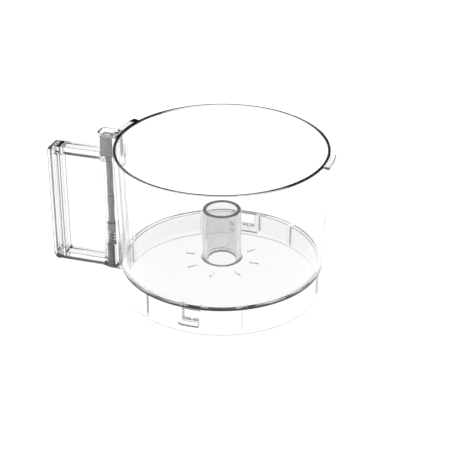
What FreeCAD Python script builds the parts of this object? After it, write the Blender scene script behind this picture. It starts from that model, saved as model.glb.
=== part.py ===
import FreeCAD, Part
import math
import os
from FreeCAD import Vector

# Clear work bowl of a food processor, with the sprung push rod in its handle column.
# Millimetres. The origin is on the axis of the drive tube, at the underside of the floor.
# +Z is up, and the handle points along -X. Distances called reach are from the bowl's axis.

# Bowl
rim_diameter = 200.0
base_diameter = 193.0
wall = 2.8
depth = 115.5
floor_thickness = 3.0
floor_bevel = 4.0
floor_bevel_break = 1.2
rim_bevel = 0.7
skirt_depth = 25.6
skirt_wall = 2.6
foot_bevel = 0.5

# Drive tube
bore_radius = 14.4
tube_top_radius = 18.1
tube_base_radius = 18.7
tube_height = 51.6
tube_foot_bevel = 1.4
tube_bevel = 0.8

# Short ribs under the floor, round the tube
floor_rib_count = 8
floor_rib_start = 27.5
floor_rib_length = 9.0
floor_rib_width = 2.4
floor_rib_height = 1.2
floor_rib_flat = 0.12

# Upright ribs inside the skirt
skirt_rib_count = 6
skirt_rib_width = 4.0
skirt_rib_depth = 2.2
skirt_rib_gap = 1.0
skirt_rib_taper = 3.6

# Bayonet hooks of the skirt, two of them, half a turn apart
hook_count = 2
hook_angle = -94.4
hook_leg_width = 5.0
hook_foot_length = 14.6
hook_foot_height = 6.6
hook_depth = 4.4
hook_round = 3.0
hook_notch = 1.4
window_width = 17.4
window_height = 12.9
window_top_gap = 0.4
window_round = 2.0

# Bayonet lugs of the rim
lug_reach = 5.6
lug_thickness = 2.7
lug_half_angle = 7.7
lug_round = 0.8
rear_lug_start = 160.5
rear_lug_end = 178.0

# Column between the bowl and the handle; the gap is from the rim to the push rod's axis
rod_gap = 12.3
column_top_radius = 6.6
column_foot_radius = 8.4
column_flare = 3.0
column_wall = 2.4
head_wall = 2.5
head_height = 27.0
head_chamfer = 3.0
head_round = 4.5
head_flare = 2.0
rod_bore_radius = 5.1
plug_bore_radius = 5.7
plug_bore_end = 1.0
slot_depth = 3.5
slot_half_width = 6.0
slot_wall = 1.6
slot_rib_width = 1.6
slot_rib_length = 4.0
core_ceiling = 6.0

# Handle; its length is from the push rod's axis to the outside of the grip
handle_width = 14.0
handle_length = 61.2
grip_depth = 13.0
outer_flange = 4.3
inner_flange = 3.2
grip_web = 3.0
top_bar_drop = 19.6
top_bar_height = 8.6
foot_bar_height = 8.7
foot_bar_lift = 0.3
bar_bevel_height = 2.4
bar_bevel_width = 1.2
handle_corner = 6.0
handle_inner_corner = 2.5

# Push rod
rod_head_length = 12.8
rod_head_width = 10.4
rod_head_height = 20.5
rod_head_round = 1.2
rod_stem_radius = 3.25
rod_land_radius = 3.5
rod_land_top = 51.5
rod_land_length = 10.5
collar_radius = 4.9
collar_top = 22.5
collar_height = 9.0
rod_tail_radius = 1.9
rod_bead_radius = 2.35
rod_bead_length = 2.4
rod_tip_radius = 1.4
rod_tip_length = 1.6
rod_split_width = 1.0
rod_split_length = 7.0
rod_stroke = 5.0

# Return spring
spring_radius = 4.5
spring_wire = 1.1
spring_turns = 4.1
spring_wire_flats = 6
spring_length = 14.5

# Plug that closes the column and carries the spring
plug_guide_length = 11.2
plug_socket_radius = 3.8
plug_flange_reach = 9.0
plug_flange_inner = 7.6
plug_flange_half_width = 6.6
plug_flange_thickness = 2.0
plug_flange_round = 3.0
barb_root = 4.0
barb_drop = 3.0
barb_height = 6.0
barb_width = 4.0
barb_reach = 7.9

# Clearances
head_clearance = 0.3
stroke_clearance = 0.1
guide_clearance = 0.08
plug_clearance = 0.12
bead_clearance = 0.1

# Levels and radii that follow from the sizes
rim_level = floor_thickness + depth
foot_level = -skirt_depth
rim_radius = rim_diameter / 2
rod_reach = rim_radius + rod_gap
handle_reach = rod_reach + handle_length
base_radius = base_diameter / 2
skirt_inner_radius = base_radius - skirt_wall
tube_top = floor_thickness + tube_height
head_floor = rim_level - head_height
slot_floor = rim_level - slot_depth
rod_head_top = slot_floor
rod_head_bottom = rod_head_top - rod_head_height
pocket_floor = rod_head_bottom - rod_stroke - stroke_clearance
collar_bottom = collar_top - collar_height
plug_top = collar_bottom - spring_length
plug_shoulder = plug_top - plug_guide_length
pocket_half_length = rod_head_length / 2 + head_clearance
pocket_half_width = rod_head_width / 2 + head_clearance
head_reach = rod_reach + pocket_half_length + head_wall
head_half_width = pocket_half_width + head_wall
top_bar_top = rim_level - top_bar_drop
top_bar_bottom = top_bar_top - top_bar_height
foot_bar_bottom = foot_level + foot_bar_lift
foot_bar_top = foot_bar_bottom + foot_bar_height
grip_inner_reach = handle_reach - grip_depth

UP = Vector(0, 0, 1)
AXIS_POINT = Vector(0, 0, 0)
ROD_POINT = Vector(-rod_reach, 0, 0)


def outer_radius_at(level):
    """Outer radius of the bowl's wall: upright along the skirt, then opening to the rim."""
    share = max(0.0, level) / rim_level
    return base_radius + share * (rim_radius - base_radius)


def in_section(radius, level):
    """A point of the bowl's section, drawn in the plane of X and Z."""
    return Vector(radius, 0, level)


def on_handle(reach, level):
    """A point of the handle's middle plane, which lies on the -X side."""
    return Vector(-reach, 0, level)


def in_plan(level):
    """Points of a level plan on the handle's side: reach from the bowl's axis, then across."""
    return lambda reach, across: Vector(-reach, across, level)


def outline(corners, place):
    """A closed wire through the corners (u, v, radius), each rounded to its radius."""
    count = len(corners)
    stations = []
    for index, (u, v, radius) in enumerate(corners):
        corner = Vector(u, v, 0)
        before = Vector(*corners[index - 1][:2], 0) - corner
        after = Vector(*corners[(index + 1) % count][:2], 0) - corner
        before.normalize()
        after.normalize()
        if radius == 0:
            stations.append((corner, None, corner))
            continue
        half = before.getAngle(after) / 2
        run = radius / math.tan(half)
        middle = before + after
        middle.normalize()
        top = corner + middle * (radius / math.sin(half) - radius)
        stations.append((corner + before * run, top, corner + after * run))
    edges = []
    for index, (start, top, end) in enumerate(stations):
        last = stations[index - 1][2]
        if last.distanceToPoint(start) > 1e-6:
            edges.append(Part.LineSegment(place(last.x, last.y), place(start.x, start.y)).toShape())
        if top is not None:
            arc = Part.Arc(place(start.x, start.y), place(top.x, top.y), place(end.x, end.y))
            edges.append(arc.toShape())
    return Part.Wire(edges)


def turned(corners):
    """A solid of revolution about the bowl's axis."""
    face = Part.Face(outline(corners, in_section))
    return face.revolve(AXIS_POINT, UP, 360)


def spun(shape, angle):
    """A copy turned about the bowl's axis."""
    copy = shape.copy()
    copy.rotate(AXIS_POINT, UP, angle)
    return copy


def ring_piece(inner, outer, start, end, bottom, top, corner=0.0):
    """A piece of a flat ring between two angles, its outer corners rounded."""
    def at(radius, angle):
        turn = math.radians(angle)
        return Vector(radius * math.cos(turn), radius * math.sin(turn), bottom)
    middle = (start + end) / 2
    edges = [
        Part.Arc(at(outer, start), at(outer, middle), at(outer, end)).toShape(),
        Part.LineSegment(at(outer, end), at(inner, end)).toShape(),
        Part.Arc(at(inner, end), at(inner, middle), at(inner, start)).toShape(),
        Part.LineSegment(at(inner, start), at(outer, start)).toShape(),
    ]
    piece = Part.Face(Part.Wire(edges)).extrude(Vector(0, 0, top - bottom))
    if corner == 0:
        return piece
    upright = [
        edge for edge in piece.Edges
        if abs(edge.tangentAt(edge.FirstParameter).z) > 0.9
        and math.hypot(edge.CenterOfMass.x, edge.CenterOfMass.y) > outer - corner
    ]
    return piece.makeFillet(corner, upright)


def make_shell():
    """Wall, floor, skirt and drive tube, turned in one section."""
    bevel_top = floor_thickness + floor_bevel
    floor_edge = outer_radius_at(floor_thickness) - wall
    return turned([
        (bore_radius, 0, 0),
        (skirt_inner_radius, 0, 0),
        (skirt_inner_radius, foot_level + foot_bevel, 0),
        (skirt_inner_radius + foot_bevel, foot_level, 0),
        (base_radius - foot_bevel, foot_level, 0),
        (base_radius, foot_level + foot_bevel, 0),
        (base_radius, 0, 0),
        (outer_radius_at(rim_level - rim_bevel), rim_level - rim_bevel, 0),
        (rim_radius - rim_bevel, rim_level, 0),
        (rim_radius - wall + rim_bevel, rim_level, 0),
        (outer_radius_at(rim_level - rim_bevel) - wall, rim_level - rim_bevel, 0),
        (outer_radius_at(bevel_top) - wall, bevel_top, 0),
        (floor_edge - floor_bevel_break, floor_thickness + floor_bevel_break, 0),
        (floor_edge - floor_bevel, floor_thickness, 0),
        (tube_base_radius + tube_foot_bevel, floor_thickness, 0),
        (tube_base_radius, floor_thickness + tube_foot_bevel, 0),
        (tube_top_radius, tube_top - tube_bevel, 0),
        (tube_top_radius - tube_bevel, tube_top, 0),
        (bore_radius + tube_bevel, tube_top, 0),
        (bore_radius, tube_top - tube_bevel, 0),
    ])


def make_wall_core():
    """The bowl's space up to the middle of its wall: what is added outside is cut by it."""
    middle = wall / 2
    return turned([
        (0, foot_level - wall, 0),
        (base_radius - middle, foot_level - wall, 0),
        (base_radius - middle, 0, 0),
        (rim_radius - middle, rim_level, 0),
        (rim_radius - middle, rim_level + wall, 0),
        (0, rim_level + wall, 0),
    ])


def make_floor_ribs():
    half = floor_rib_width / 2
    end = floor_rib_start + floor_rib_length
    rounding = half - floor_rib_flat / 2
    bar = outline([
        (floor_rib_start, -half, rounding),
        (end, -half, rounding),
        (end, half, rounding),
        (floor_rib_start, half, rounding),
    ], in_plan(-floor_rib_height))
    rib = Part.Face(bar).extrude(Vector(0, 0, floor_rib_height + floor_thickness / 2))
    return [spun(rib, 360 / floor_rib_count * index) for index in range(floor_rib_count)]


def make_skirt_ribs():
    root = skirt_inner_radius + skirt_wall / 2
    crest = skirt_inner_radius - skirt_rib_depth
    end = foot_level + skirt_rib_gap
    side = outline([
        (crest, floor_thickness / 2, 0),
        (root, floor_thickness / 2, 0),
        (root, end, 0),
        (skirt_inner_radius, end, 0),
        (crest, end + skirt_rib_taper, 0),
    ], in_section)
    rib = Part.Face(side).extrude(Vector(0, skirt_rib_width, 0))
    rib.translate(Vector(0, -skirt_rib_width / 2, 0))
    return [spun(rib, 360 / skirt_rib_count * index) for index in range(skirt_rib_count)]


def degrees_along(length, radius):
    return math.degrees(length / radius)


def make_hook():
    """An L of plastic inside the skirt: a stop and a ledge that the base's lug runs over."""
    inner = skirt_inner_radius - hook_depth
    outer = skirt_inner_radius + skirt_wall / 2
    leg = degrees_along(hook_leg_width, skirt_inner_radius)
    foot = degrees_along(hook_foot_length, skirt_inner_radius)
    ledge_top = -window_height
    ledge_bottom = ledge_top - hook_foot_height
    stop = ring_piece(inner, outer, hook_angle - leg, hook_angle, ledge_bottom, floor_thickness / 2)
    ledge = ring_piece(inner, outer, hook_angle - leg, hook_angle + foot, ledge_bottom, ledge_top)
    hook = stop.fuse(ledge)
    elbow = [
        edge for edge in hook.Edges
        if edge.Length > hook_depth
        and abs(edge.CenterOfMass.z - ledge_bottom) < 0.01
        and abs(edge.CenterOfMass.distanceToPoint(edge.Vertexes[0].Point) - edge.Length / 2) < 0.01
    ]
    corner = math.radians(hook_angle - leg)
    elbow.sort(key=lambda edge: abs(math.atan2(edge.CenterOfMass.y, edge.CenterOfMass.x) - corner))
    hook = hook.makeFillet(hook_round, elbow[:1])
    notch_start = Vector(inner - hook_depth / 2, 0, ledge_top)
    notch = Part.makeCylinder(hook_notch, 2 * hook_depth, notch_start, Vector(1, 0, 0))
    return hook.cut(spun(notch, hook_angle + foot / 2))


def make_window():
    """The opening over a hook's ledge, cut straight out through the skirt."""
    radius = skirt_inner_radius
    half = window_width / 2
    frame = outline([
        (-half, -window_height, 0),
        (half, -window_height, window_round),
        (half, -window_top_gap, window_round),
        (-half, -window_top_gap, 0),
    ], lambda across, level: Vector(radius, across, level))
    cut = Part.Face(frame).extrude(Vector(2 * skirt_wall, 0, 0))
    cut.translate(Vector(-skirt_wall / 2, 0, 0))
    return spun(cut, hook_angle + degrees_along(half, radius))


def rod_piece(radius, bottom, top):
    """A round piece on the push rod's axis."""
    piece = Part.makeCylinder(radius, top - bottom)
    piece.translate(ROD_POINT + UP * bottom)
    return piece


def make_rim_lugs():
    root = rim_radius - wall / 2
    reach = rim_radius + lug_reach
    bottom = rim_level - lug_thickness
    front = ring_piece(root, reach, -lug_half_angle, lug_half_angle, bottom, rim_level, lug_round)
    rear = ring_piece(root, reach, rear_lug_start, rear_lug_end, bottom, rim_level, lug_round)
    return [front, rear]


def keyhole(level, half_width, flare, root):
    """Plan of the column: flared at the bowl's wall, parallel, and round about the push rod."""
    place = in_plan(level)
    back = root - 4 * flare
    start = (back, half_width + flare)
    points = [start, (root, half_width + flare), (root + flare, half_width), (rod_reach, half_width)]
    edges = [
        Part.LineSegment(place(*first), place(*second)).toShape()
        for first, second in zip(points, points[1:])
    ]
    tip = place(rod_reach + half_width, 0)
    edges.append(Part.Arc(place(rod_reach, half_width), tip, place(rod_reach, -half_width)).toShape())
    mirrored = [(reach, -across) for reach, across in reversed(points)]
    edges += [
        Part.LineSegment(place(*first), place(*second)).toShape()
        for first, second in zip(mirrored, mirrored[1:])
    ]
    edges.append(Part.LineSegment(place(back, -half_width - flare), place(*start)).toShape())
    return Part.Wire(edges)


def make_column():
    """The drafted column, wider at the foot, with the larger head on top."""
    foot = keyhole(foot_bar_bottom, column_foot_radius, column_flare, outer_radius_at(foot_bar_bottom))
    top = keyhole(head_floor, column_top_radius, column_flare, outer_radius_at(head_floor))
    shaft = Part.makeLoft([foot, top], True, True)

    def head_plan(level, inset):
        root = rim_radius
        side = head_half_width - inset
        return outline([
            (root - 4 * head_flare, -side - head_flare, 0),
            (root, -side - head_flare, 0),
            (root + head_flare, -side, 0),
            (head_reach - inset, -side, head_round - inset),
            (head_reach - inset, side, head_round - inset),
            (root + head_flare, side, 0),
            (root, side + head_flare, 0),
            (root - 4 * head_flare, side + head_flare, 0),
        ], in_plan(level))

    head = Part.Face(head_plan(head_floor, 0)).extrude(Vector(0, 0, head_height))
    lower_plan = head_plan(head_floor - head_chamfer, head_chamfer / 2)
    under = Part.makeLoft([lower_plan, head_plan(head_floor, 0)], True, True)
    return shaft.fuse([head, under])


def make_web_core():
    """The slot that keeps the column's web from being one thick lump, open at the foot."""
    ceiling = head_floor - core_ceiling
    far = rod_reach - plug_bore_radius - column_wall

    def slot(level, half_width):
        near = outer_radius_at(level) + head_clearance
        return outline([
            (near, -half_width, 0),
            (far, -half_width, 0),
            (far, half_width, 0),
            (near, half_width, 0),
        ], in_plan(level))

    bottom = foot_level - wall
    return Part.makeLoft([
        slot(bottom, column_foot_radius - column_wall),
        slot(ceiling, column_top_radius - column_wall),
    ], True, True)


def make_rod_pocket():
    """Pocket for the rod's head, with the open slot over it that the lid's finger enters."""
    plan = in_plan(pocket_floor)
    corner = rod_head_round
    pocket = Part.Face(outline([
        (rod_reach - pocket_half_length, -pocket_half_width, corner),
        (rod_reach + pocket_half_length, -pocket_half_width, corner),
        (rod_reach + pocket_half_length, pocket_half_width, corner),
        (rod_reach - pocket_half_length, pocket_half_width, corner),
    ], plan)).extrude(Vector(0, 0, rim_level - pocket_floor + wall))
    slot_start = rim_radius + slot_wall
    slot_end = rod_reach + pocket_half_length
    slot = Part.makeBox(slot_end - slot_start, 2 * slot_half_width, slot_depth + wall)
    slot.translate(Vector(-slot_end, -slot_half_width, slot_floor))
    rib = Part.makeBox(slot_rib_length, slot_rib_width, slot_depth + wall)
    rib.translate(Vector(-slot_start - slot_rib_length, -slot_rib_width / 2, slot_floor))
    return pocket.fuse(slot.cut(rib))


def make_rod_bore():
    """Round bore from the foot up to the head's pocket, stepped wider where the plug sits."""
    bore = rod_piece(rod_bore_radius, foot_level, pocket_floor)
    return bore.fuse(rod_piece(plug_bore_radius, foot_level, plug_top + plug_bore_end))


def flange_plan(level, extra):
    """Plan of the plug's flange, or of its seat when it is made larger by extra."""
    near = rod_reach - plug_flange_inner - extra
    far = rod_reach + plug_flange_reach + extra
    side = plug_flange_half_width + extra
    corner = plug_flange_round + extra
    return outline([
        (near, -side, corner),
        (far, -side, corner),
        (far, side, corner),
        (near, side, corner),
    ], in_plan(level))


def make_barb():
    """The plug's snap barb: a wedge with its thick end down."""
    top = plug_top - barb_drop
    bottom = top - barb_height
    root = rod_reach + barb_root
    side = outline([
        (root, bottom, 0),
        (rod_reach + barb_reach, bottom, 0),
        (rod_reach + plug_bore_radius - plug_clearance, top, 0),
        (root, top, 0),
    ], on_handle)
    barb = Part.Face(side).extrude(Vector(0, barb_width, 0))
    barb.translate(Vector(0, -barb_width / 2, 0))
    return barb


def make_barb_window():
    width = barb_width + 2 * plug_clearance
    height = barb_height + 2 * plug_clearance
    top = plug_top - barb_drop + plug_clearance
    window = Part.makeBox(2 * column_foot_radius, width, height)
    window.translate(Vector(-rod_reach - 2 * column_foot_radius, -width / 2, top - height))
    return window


def make_bar_bevels():
    """Wedges that take the lower edges off both bars, where the fingers and the hand's heel lie."""
    half = handle_width / 2
    ends = {
        foot_bar_bottom: handle_reach - handle_corner,
        top_bar_bottom: grip_inner_reach - handle_inner_corner,
    }
    wedges = []
    for bottom, end in ends.items():
        for side in (-1, 1):
            corner = Vector(-end, side * half, bottom)
            points = [
                corner,
                corner - Vector(0, side * bar_bevel_width, 0),
                corner + Vector(0, 0, bar_bevel_height),
                corner,
            ]
            face = Part.Face(Part.makePolygon(points))
            wedges.append(face.extrude(Vector(end - rod_reach, 0, 0)))
    return wedges


def make_handle():
    """A D of plastic: two bars and an upright grip with a web between two flanges."""
    half = handle_width / 2
    root = rod_reach
    rim = outline([
        (root, foot_bar_bottom, 0),
        (handle_reach, foot_bar_bottom, handle_corner),
        (handle_reach, top_bar_top, handle_corner),
        (root, top_bar_top, 0),
    ], on_handle)
    gap = outline([
        (root - wall, foot_bar_top, 0),
        (grip_inner_reach, foot_bar_top, handle_inner_corner),
        (grip_inner_reach, top_bar_bottom, handle_inner_corner),
        (root - wall, top_bar_bottom, 0),
    ], on_handle)
    handle = Part.Face(rim).extrude(Vector(0, handle_width, 0))
    handle = handle.cut(Part.Face(gap).extrude(Vector(0, handle_width, 0)))
    handle.translate(Vector(0, -half, 0))
    pocket_depth = (handle_width - grip_web) / 2
    pocket_plan = outline([
        (grip_inner_reach + inner_flange, foot_bar_top, handle_inner_corner),
        (handle_reach - outer_flange, foot_bar_top, handle_inner_corner),
        (handle_reach - outer_flange, top_bar_bottom, handle_inner_corner),
        (grip_inner_reach + inner_flange, top_bar_bottom, handle_inner_corner),
    ], on_handle)
    pocket = Part.Face(pocket_plan).extrude(Vector(0, pocket_depth, 0))
    pockets = [pocket.copy(), pocket.copy()]
    pockets[0].translate(Vector(0, -half, 0))
    pockets[1].translate(Vector(0, grip_web / 2, 0))
    return handle.cut(pockets + make_bar_bevels())


def make_bowl():
    outside = make_column().fuse([make_handle()] + make_rim_lugs()).cut(make_wall_core())
    inside = make_floor_ribs() + make_skirt_ribs()
    hook = make_hook()
    window = make_window()
    inside += [spun(hook, 360 / hook_count * index) for index in range(hook_count)]
    windows = [spun(window, 360 / hook_count * index) for index in range(hook_count)]
    seat = Part.Face(flange_plan(foot_level - wall, plug_clearance))
    seat = seat.extrude(Vector(0, 0, wall + foot_bar_lift + plug_flange_thickness))
    openings = windows + [make_web_core(), make_rod_pocket(), make_rod_bore(), make_barb_window(), seat]
    bowl = make_shell().fuse([outside] + inside)
    return bowl.cut(openings).removeSplitter()


def make_push_rod():
    """One moulding: square head, round stem with a land, spring collar and a split tail."""
    half_length = rod_head_length / 2
    half_width = rod_head_width / 2
    plan = outline([
        (rod_reach - half_length, -half_width, rod_head_round),
        (rod_reach + half_length, -half_width, rod_head_round),
        (rod_reach + half_length, half_width, rod_head_round),
        (rod_reach - half_length, half_width, rod_head_round),
    ], in_plan(rod_head_bottom))
    head = Part.Face(plan).extrude(UP * rod_head_height)
    bead_top = plug_shoulder - bead_clearance
    bead_bottom = bead_top - rod_bead_length
    stem = rod_piece(rod_stem_radius, collar_top, rod_head_bottom)
    land = rod_piece(rod_land_radius, rod_land_top - rod_land_length, rod_land_top)
    collar = rod_piece(collar_radius, collar_bottom, collar_top)
    tail = rod_piece(rod_tail_radius, bead_bottom, collar_bottom)
    bead = rod_piece(rod_bead_radius, bead_bottom, bead_top)
    tip = Part.makeCone(rod_tip_radius, rod_bead_radius, rod_tip_length)
    tip.translate(ROD_POINT + UP * (bead_bottom - rod_tip_length))
    split = Part.makeBox(4 * rod_bead_radius, rod_split_width, rod_split_length)
    tip_bottom = bead_bottom - rod_tip_length
    split.translate(ROD_POINT + Vector(-2 * rod_bead_radius, -rod_split_width / 2, tip_bottom))
    return head.fuse([stem, land, collar, tail, bead, tip]).cut(split).removeSplitter()


def make_return_spring():
    """Steel wire wound between the plug and the rod's collar, drawn with a section of six flats."""
    middle = spring_radius - spring_wire / 2
    rise = spring_length - spring_wire
    helix = Part.makeHelix(rise / spring_turns, rise, middle)
    corners = []
    for index in range(spring_wire_flats + 1):
        turn = 2 * math.pi * index / spring_wire_flats
        corners.append(Vector(middle, 0, 0) + Vector(math.cos(turn), 0, math.sin(turn)) * (spring_wire / 2))
    section = Part.makePolygon(corners)
    spring = Part.Wire(helix.Edges).makePipeShell([section], True, True)
    spring.translate(ROD_POINT + UP * (plug_top + spring_wire / 2))
    return spring


def make_spring_plug():
    """Snap-in plug: guide for the rod's tail, seat of the spring, socket for the base's switch."""
    body = rod_piece(plug_bore_radius - plug_clearance, foot_bar_bottom, plug_top)
    flange = Part.Face(flange_plan(foot_bar_bottom, 0)).extrude(UP * plug_flange_thickness)
    guide = rod_piece(rod_tail_radius + guide_clearance, plug_shoulder, plug_top)
    socket = rod_piece(plug_socket_radius, foot_bar_bottom, plug_shoulder)
    return body.fuse([flange, make_barb()]).cut([guide, socket]).removeSplitter()


PARTS = {
    "bowl": make_bowl,
    "push_rod": make_push_rod,
    "return_spring": make_return_spring,
    "spring_plug": make_spring_plug,
}


def main():
    os.makedirs("parts", exist_ok=True)
    for name, make in PARTS.items():
        shape = make()
        print(name, len(shape.Solids), "solid", shape.isValid(), round(shape.Volume / 1000, 2), "cm3")
        shape.exportStep(f"parts/{name}.step")


main()
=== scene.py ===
"""Dresses the clear work bowl of a food processor and sets up the studio it stands in."""

import math

import bmesh
import bpy
from mathutils import Matrix, Vector


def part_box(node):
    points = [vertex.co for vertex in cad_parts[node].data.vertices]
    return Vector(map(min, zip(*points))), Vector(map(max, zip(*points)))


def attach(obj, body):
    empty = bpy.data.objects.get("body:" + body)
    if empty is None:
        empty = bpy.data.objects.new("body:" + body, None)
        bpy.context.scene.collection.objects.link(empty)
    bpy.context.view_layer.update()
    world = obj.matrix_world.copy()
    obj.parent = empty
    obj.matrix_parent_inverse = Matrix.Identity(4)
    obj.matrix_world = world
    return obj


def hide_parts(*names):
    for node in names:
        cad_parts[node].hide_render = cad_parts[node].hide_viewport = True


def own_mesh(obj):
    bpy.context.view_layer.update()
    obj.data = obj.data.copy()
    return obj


bl_info = {
    "name": "Food Processor Work Bowl",
    "version": (1, 0, 0),
    "blender": (4, 5, 0),
    "location": "3D View > Sidebar > Work Bowl",
    "description": "Makes a clear work bowl with its push rod, spring and plug, and a studio",
    "category": "Add Mesh",
}

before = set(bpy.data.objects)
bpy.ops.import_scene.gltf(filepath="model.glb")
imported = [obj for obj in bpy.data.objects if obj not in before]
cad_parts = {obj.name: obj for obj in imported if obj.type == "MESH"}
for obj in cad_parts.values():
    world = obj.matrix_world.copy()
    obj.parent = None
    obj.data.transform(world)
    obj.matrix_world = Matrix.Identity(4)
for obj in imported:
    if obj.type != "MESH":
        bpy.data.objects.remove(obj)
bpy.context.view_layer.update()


def mm(value):
    return value / 1000


# Levels and reaches that the frame gives. Reach is the distance from the bowl's axis
# towards the handle, which points along -X.
BOWL_LOW, BOWL_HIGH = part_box("bowl")
ROD_LOW, ROD_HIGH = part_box("push_rod")
SPRING_LOW, SPRING_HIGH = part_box("return_spring")
PLUG_LOW, PLUG_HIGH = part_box("spring_plug")
RIM_LEVEL = BOWL_HIGH[2]
FOOT_LEVEL = BOWL_LOW[2]
HANDLE_REACH = -BOWL_LOW[0]
ROD_REACH = -(ROD_LOW[0] + ROD_HIGH[0]) / 2
ROD_AXIS = (-ROD_REACH, 0)
ROD_TOP = ROD_HIGH[2]
PLUG_BOTTOM = PLUG_LOW[2]

# Bowl
FLOOR_THICKNESS = mm(3.0)
FLOOR_ROUND = mm(4.0)
SKIRT_WALL = mm(2.6)
RIM_ROUND = mm(1.0)
FOOT_ROUND = mm(0.6)
TUBE_ROUND = mm(0.9)
TUBE_FOOT_ROUND = mm(2.0)
TUBE_DRAFT = mm(0.6)
BOWL_FACETS = 240

# Ribs under the floor and inside the skirt
FLOOR_RIB_START = mm(27.5)
FLOOR_RIB_LENGTH = mm(9.0)
FLOOR_RIB_WIDTH = mm(2.4)
FLOOR_RIB_HEIGHT = mm(1.2)
SKIRT_RIB_WIDTH = mm(4.0)
SKIRT_RIB_DEPTH = mm(2.2)
SKIRT_RIB_GAP = mm(1.0)
SKIRT_RIB_TAPER = mm(3.6)

# Bayonet hooks, their windows, and the lugs of the rim
HOOK_ANGLE = math.radians(-94.4)
HOOK_LEG_WIDTH = mm(5.0)
HOOK_FOOT_LENGTH = mm(14.6)
HOOK_FOOT_HEIGHT = mm(6.6)
HOOK_DEPTH = mm(4.4)
HOOK_ROUND = mm(3.0)
HOOK_NOTCH = mm(1.4)
WINDOW_WIDTH = mm(17.4)
WINDOW_HEIGHT = mm(12.9)
WINDOW_TOP_GAP = mm(0.4)
WINDOW_ROUND = mm(2.0)
LUG_REACH = mm(5.6)
LUG_THICKNESS = mm(2.7)
LUG_ROUND = mm(0.8)
FRONT_LUG = (math.radians(-7.7), math.radians(7.7))
REAR_LUG = (math.radians(160.5), math.radians(178.0))

# Column
COLUMN_TOP_RADIUS = mm(6.6)
COLUMN_FOOT_RADIUS = mm(8.4)
COLUMN_FLARE = mm(3.0)
COLUMN_WALL = mm(2.4)
HEAD_WALL = mm(2.5)
HEAD_HEIGHT = mm(27.0)
HEAD_CHAMFER = mm(3.0)
HEAD_ROUND = mm(4.5)
HEAD_FLARE = mm(2.0)
ROD_BORE_RADIUS = mm(5.1)
PLUG_BORE_RADIUS = mm(5.7)
PLUG_BORE_END = mm(1.0)
SLOT_HALF_WIDTH = mm(6.0)
SLOT_WALL = mm(1.6)
SLOT_RIB_WIDTH = mm(1.6)
SLOT_RIB_LENGTH = mm(4.0)
CORE_CEILING = mm(6.0)
MOULDED_EDGE = mm(0.5)

# Handle
OUTER_FLANGE = mm(4.3)
INNER_FLANGE = mm(3.2)
GRIP_WEB = mm(3.0)
TOP_BAR_DROP = mm(19.6)
TOP_BAR_HEIGHT = mm(8.6)
FOOT_BAR_HEIGHT = mm(8.7)
FOOT_BAR_LIFT = mm(0.3)
BAR_BEVEL_HEIGHT = mm(2.4)
BAR_BEVEL_WIDTH = mm(1.2)
HANDLE_CORNER = mm(6.0)
HANDLE_INNER_CORNER = mm(2.5)

# Push rod
ROD_HEAD_HEIGHT = mm(20.5)
ROD_HEAD_ROUND = mm(1.2)
ROD_STEM_RADIUS = mm(3.25)
ROD_LAND_RADIUS = mm(3.5)
ROD_LAND_TOP = mm(51.5)
ROD_LAND_LENGTH = mm(10.5)
COLLAR_RADIUS = mm(4.9)
COLLAR_TOP = mm(22.5)
COLLAR_HEIGHT = mm(9.0)
ROD_TAIL_RADIUS = mm(1.9)
ROD_BEAD_RADIUS = mm(2.35)
ROD_TIP_RADIUS = mm(1.4)
ROD_BEAD_LENGTH = mm(2.4)
ROD_TIP_LENGTH = mm(1.6)
ROD_SPLIT_WIDTH = mm(1.0)
ROD_SPLIT_LENGTH = mm(7.0)
STEM_EDGE = mm(0.2)

# Plug and clearances
PLUG_GUIDE_LENGTH = mm(11.2)
PLUG_SOCKET_RADIUS = mm(3.8)
PLUG_FLANGE_REACH = mm(9.0)
PLUG_FLANGE_INNER = mm(7.6)
PLUG_FLANGE_HALF_WIDTH = mm(6.6)
PLUG_FLANGE_THICKNESS = mm(2.0)
PLUG_FLANGE_ROUND = mm(3.0)
PLUG_EDGE = mm(0.25)
BARB_ROOT = mm(4.0)
BARB_DROP = mm(3.0)
BARB_HEIGHT = mm(6.0)
BARB_WIDTH = mm(4.0)
BARB_REACH = mm(7.9)
HEAD_CLEARANCE = mm(0.3)
ROD_STROKE = mm(5.0)
STROKE_CLEARANCE = mm(0.1)
GUIDE_CLEARANCE = mm(0.08)
PLUG_CLEARANCE = mm(0.12)

# Measures of the painted shade at the plastic's edges and at the rod's steps
LINE = mm(0.5)
GRIP_LINE = mm(1.0)
EDGE_BLEND = mm(0.25)
RIM_END_BLEND = mm(40)
RIM_END_SHARE = 0.8
UNDER_FLOOR = mm(0.3)
COLUMN_SHOULDER = mm(6)
STEP_SHADE_HALF_WIDTH = mm(0.35)

# Studio
WHITE = (1, 1, 1, 1)
ROOM_GLOW = 1.27
CEILING_GLOW = 0.03
ROOM_FILL = 0.55
FLOOR_GLOW_SHARE = 0.8
LAMP_AIM = Vector((0, 0, mm(40)))

# Bore's flats, and the facets of round cuts
BORE_FLAT_DEPTH = mm(1.5)
BORE_FLAT_CORNER = mm(0.5)
ROUND_FACETS = 64
BORE_FACETS = 48
NOTCH_FACETS = 24
KEYHOLE_STEPS = 24

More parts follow.
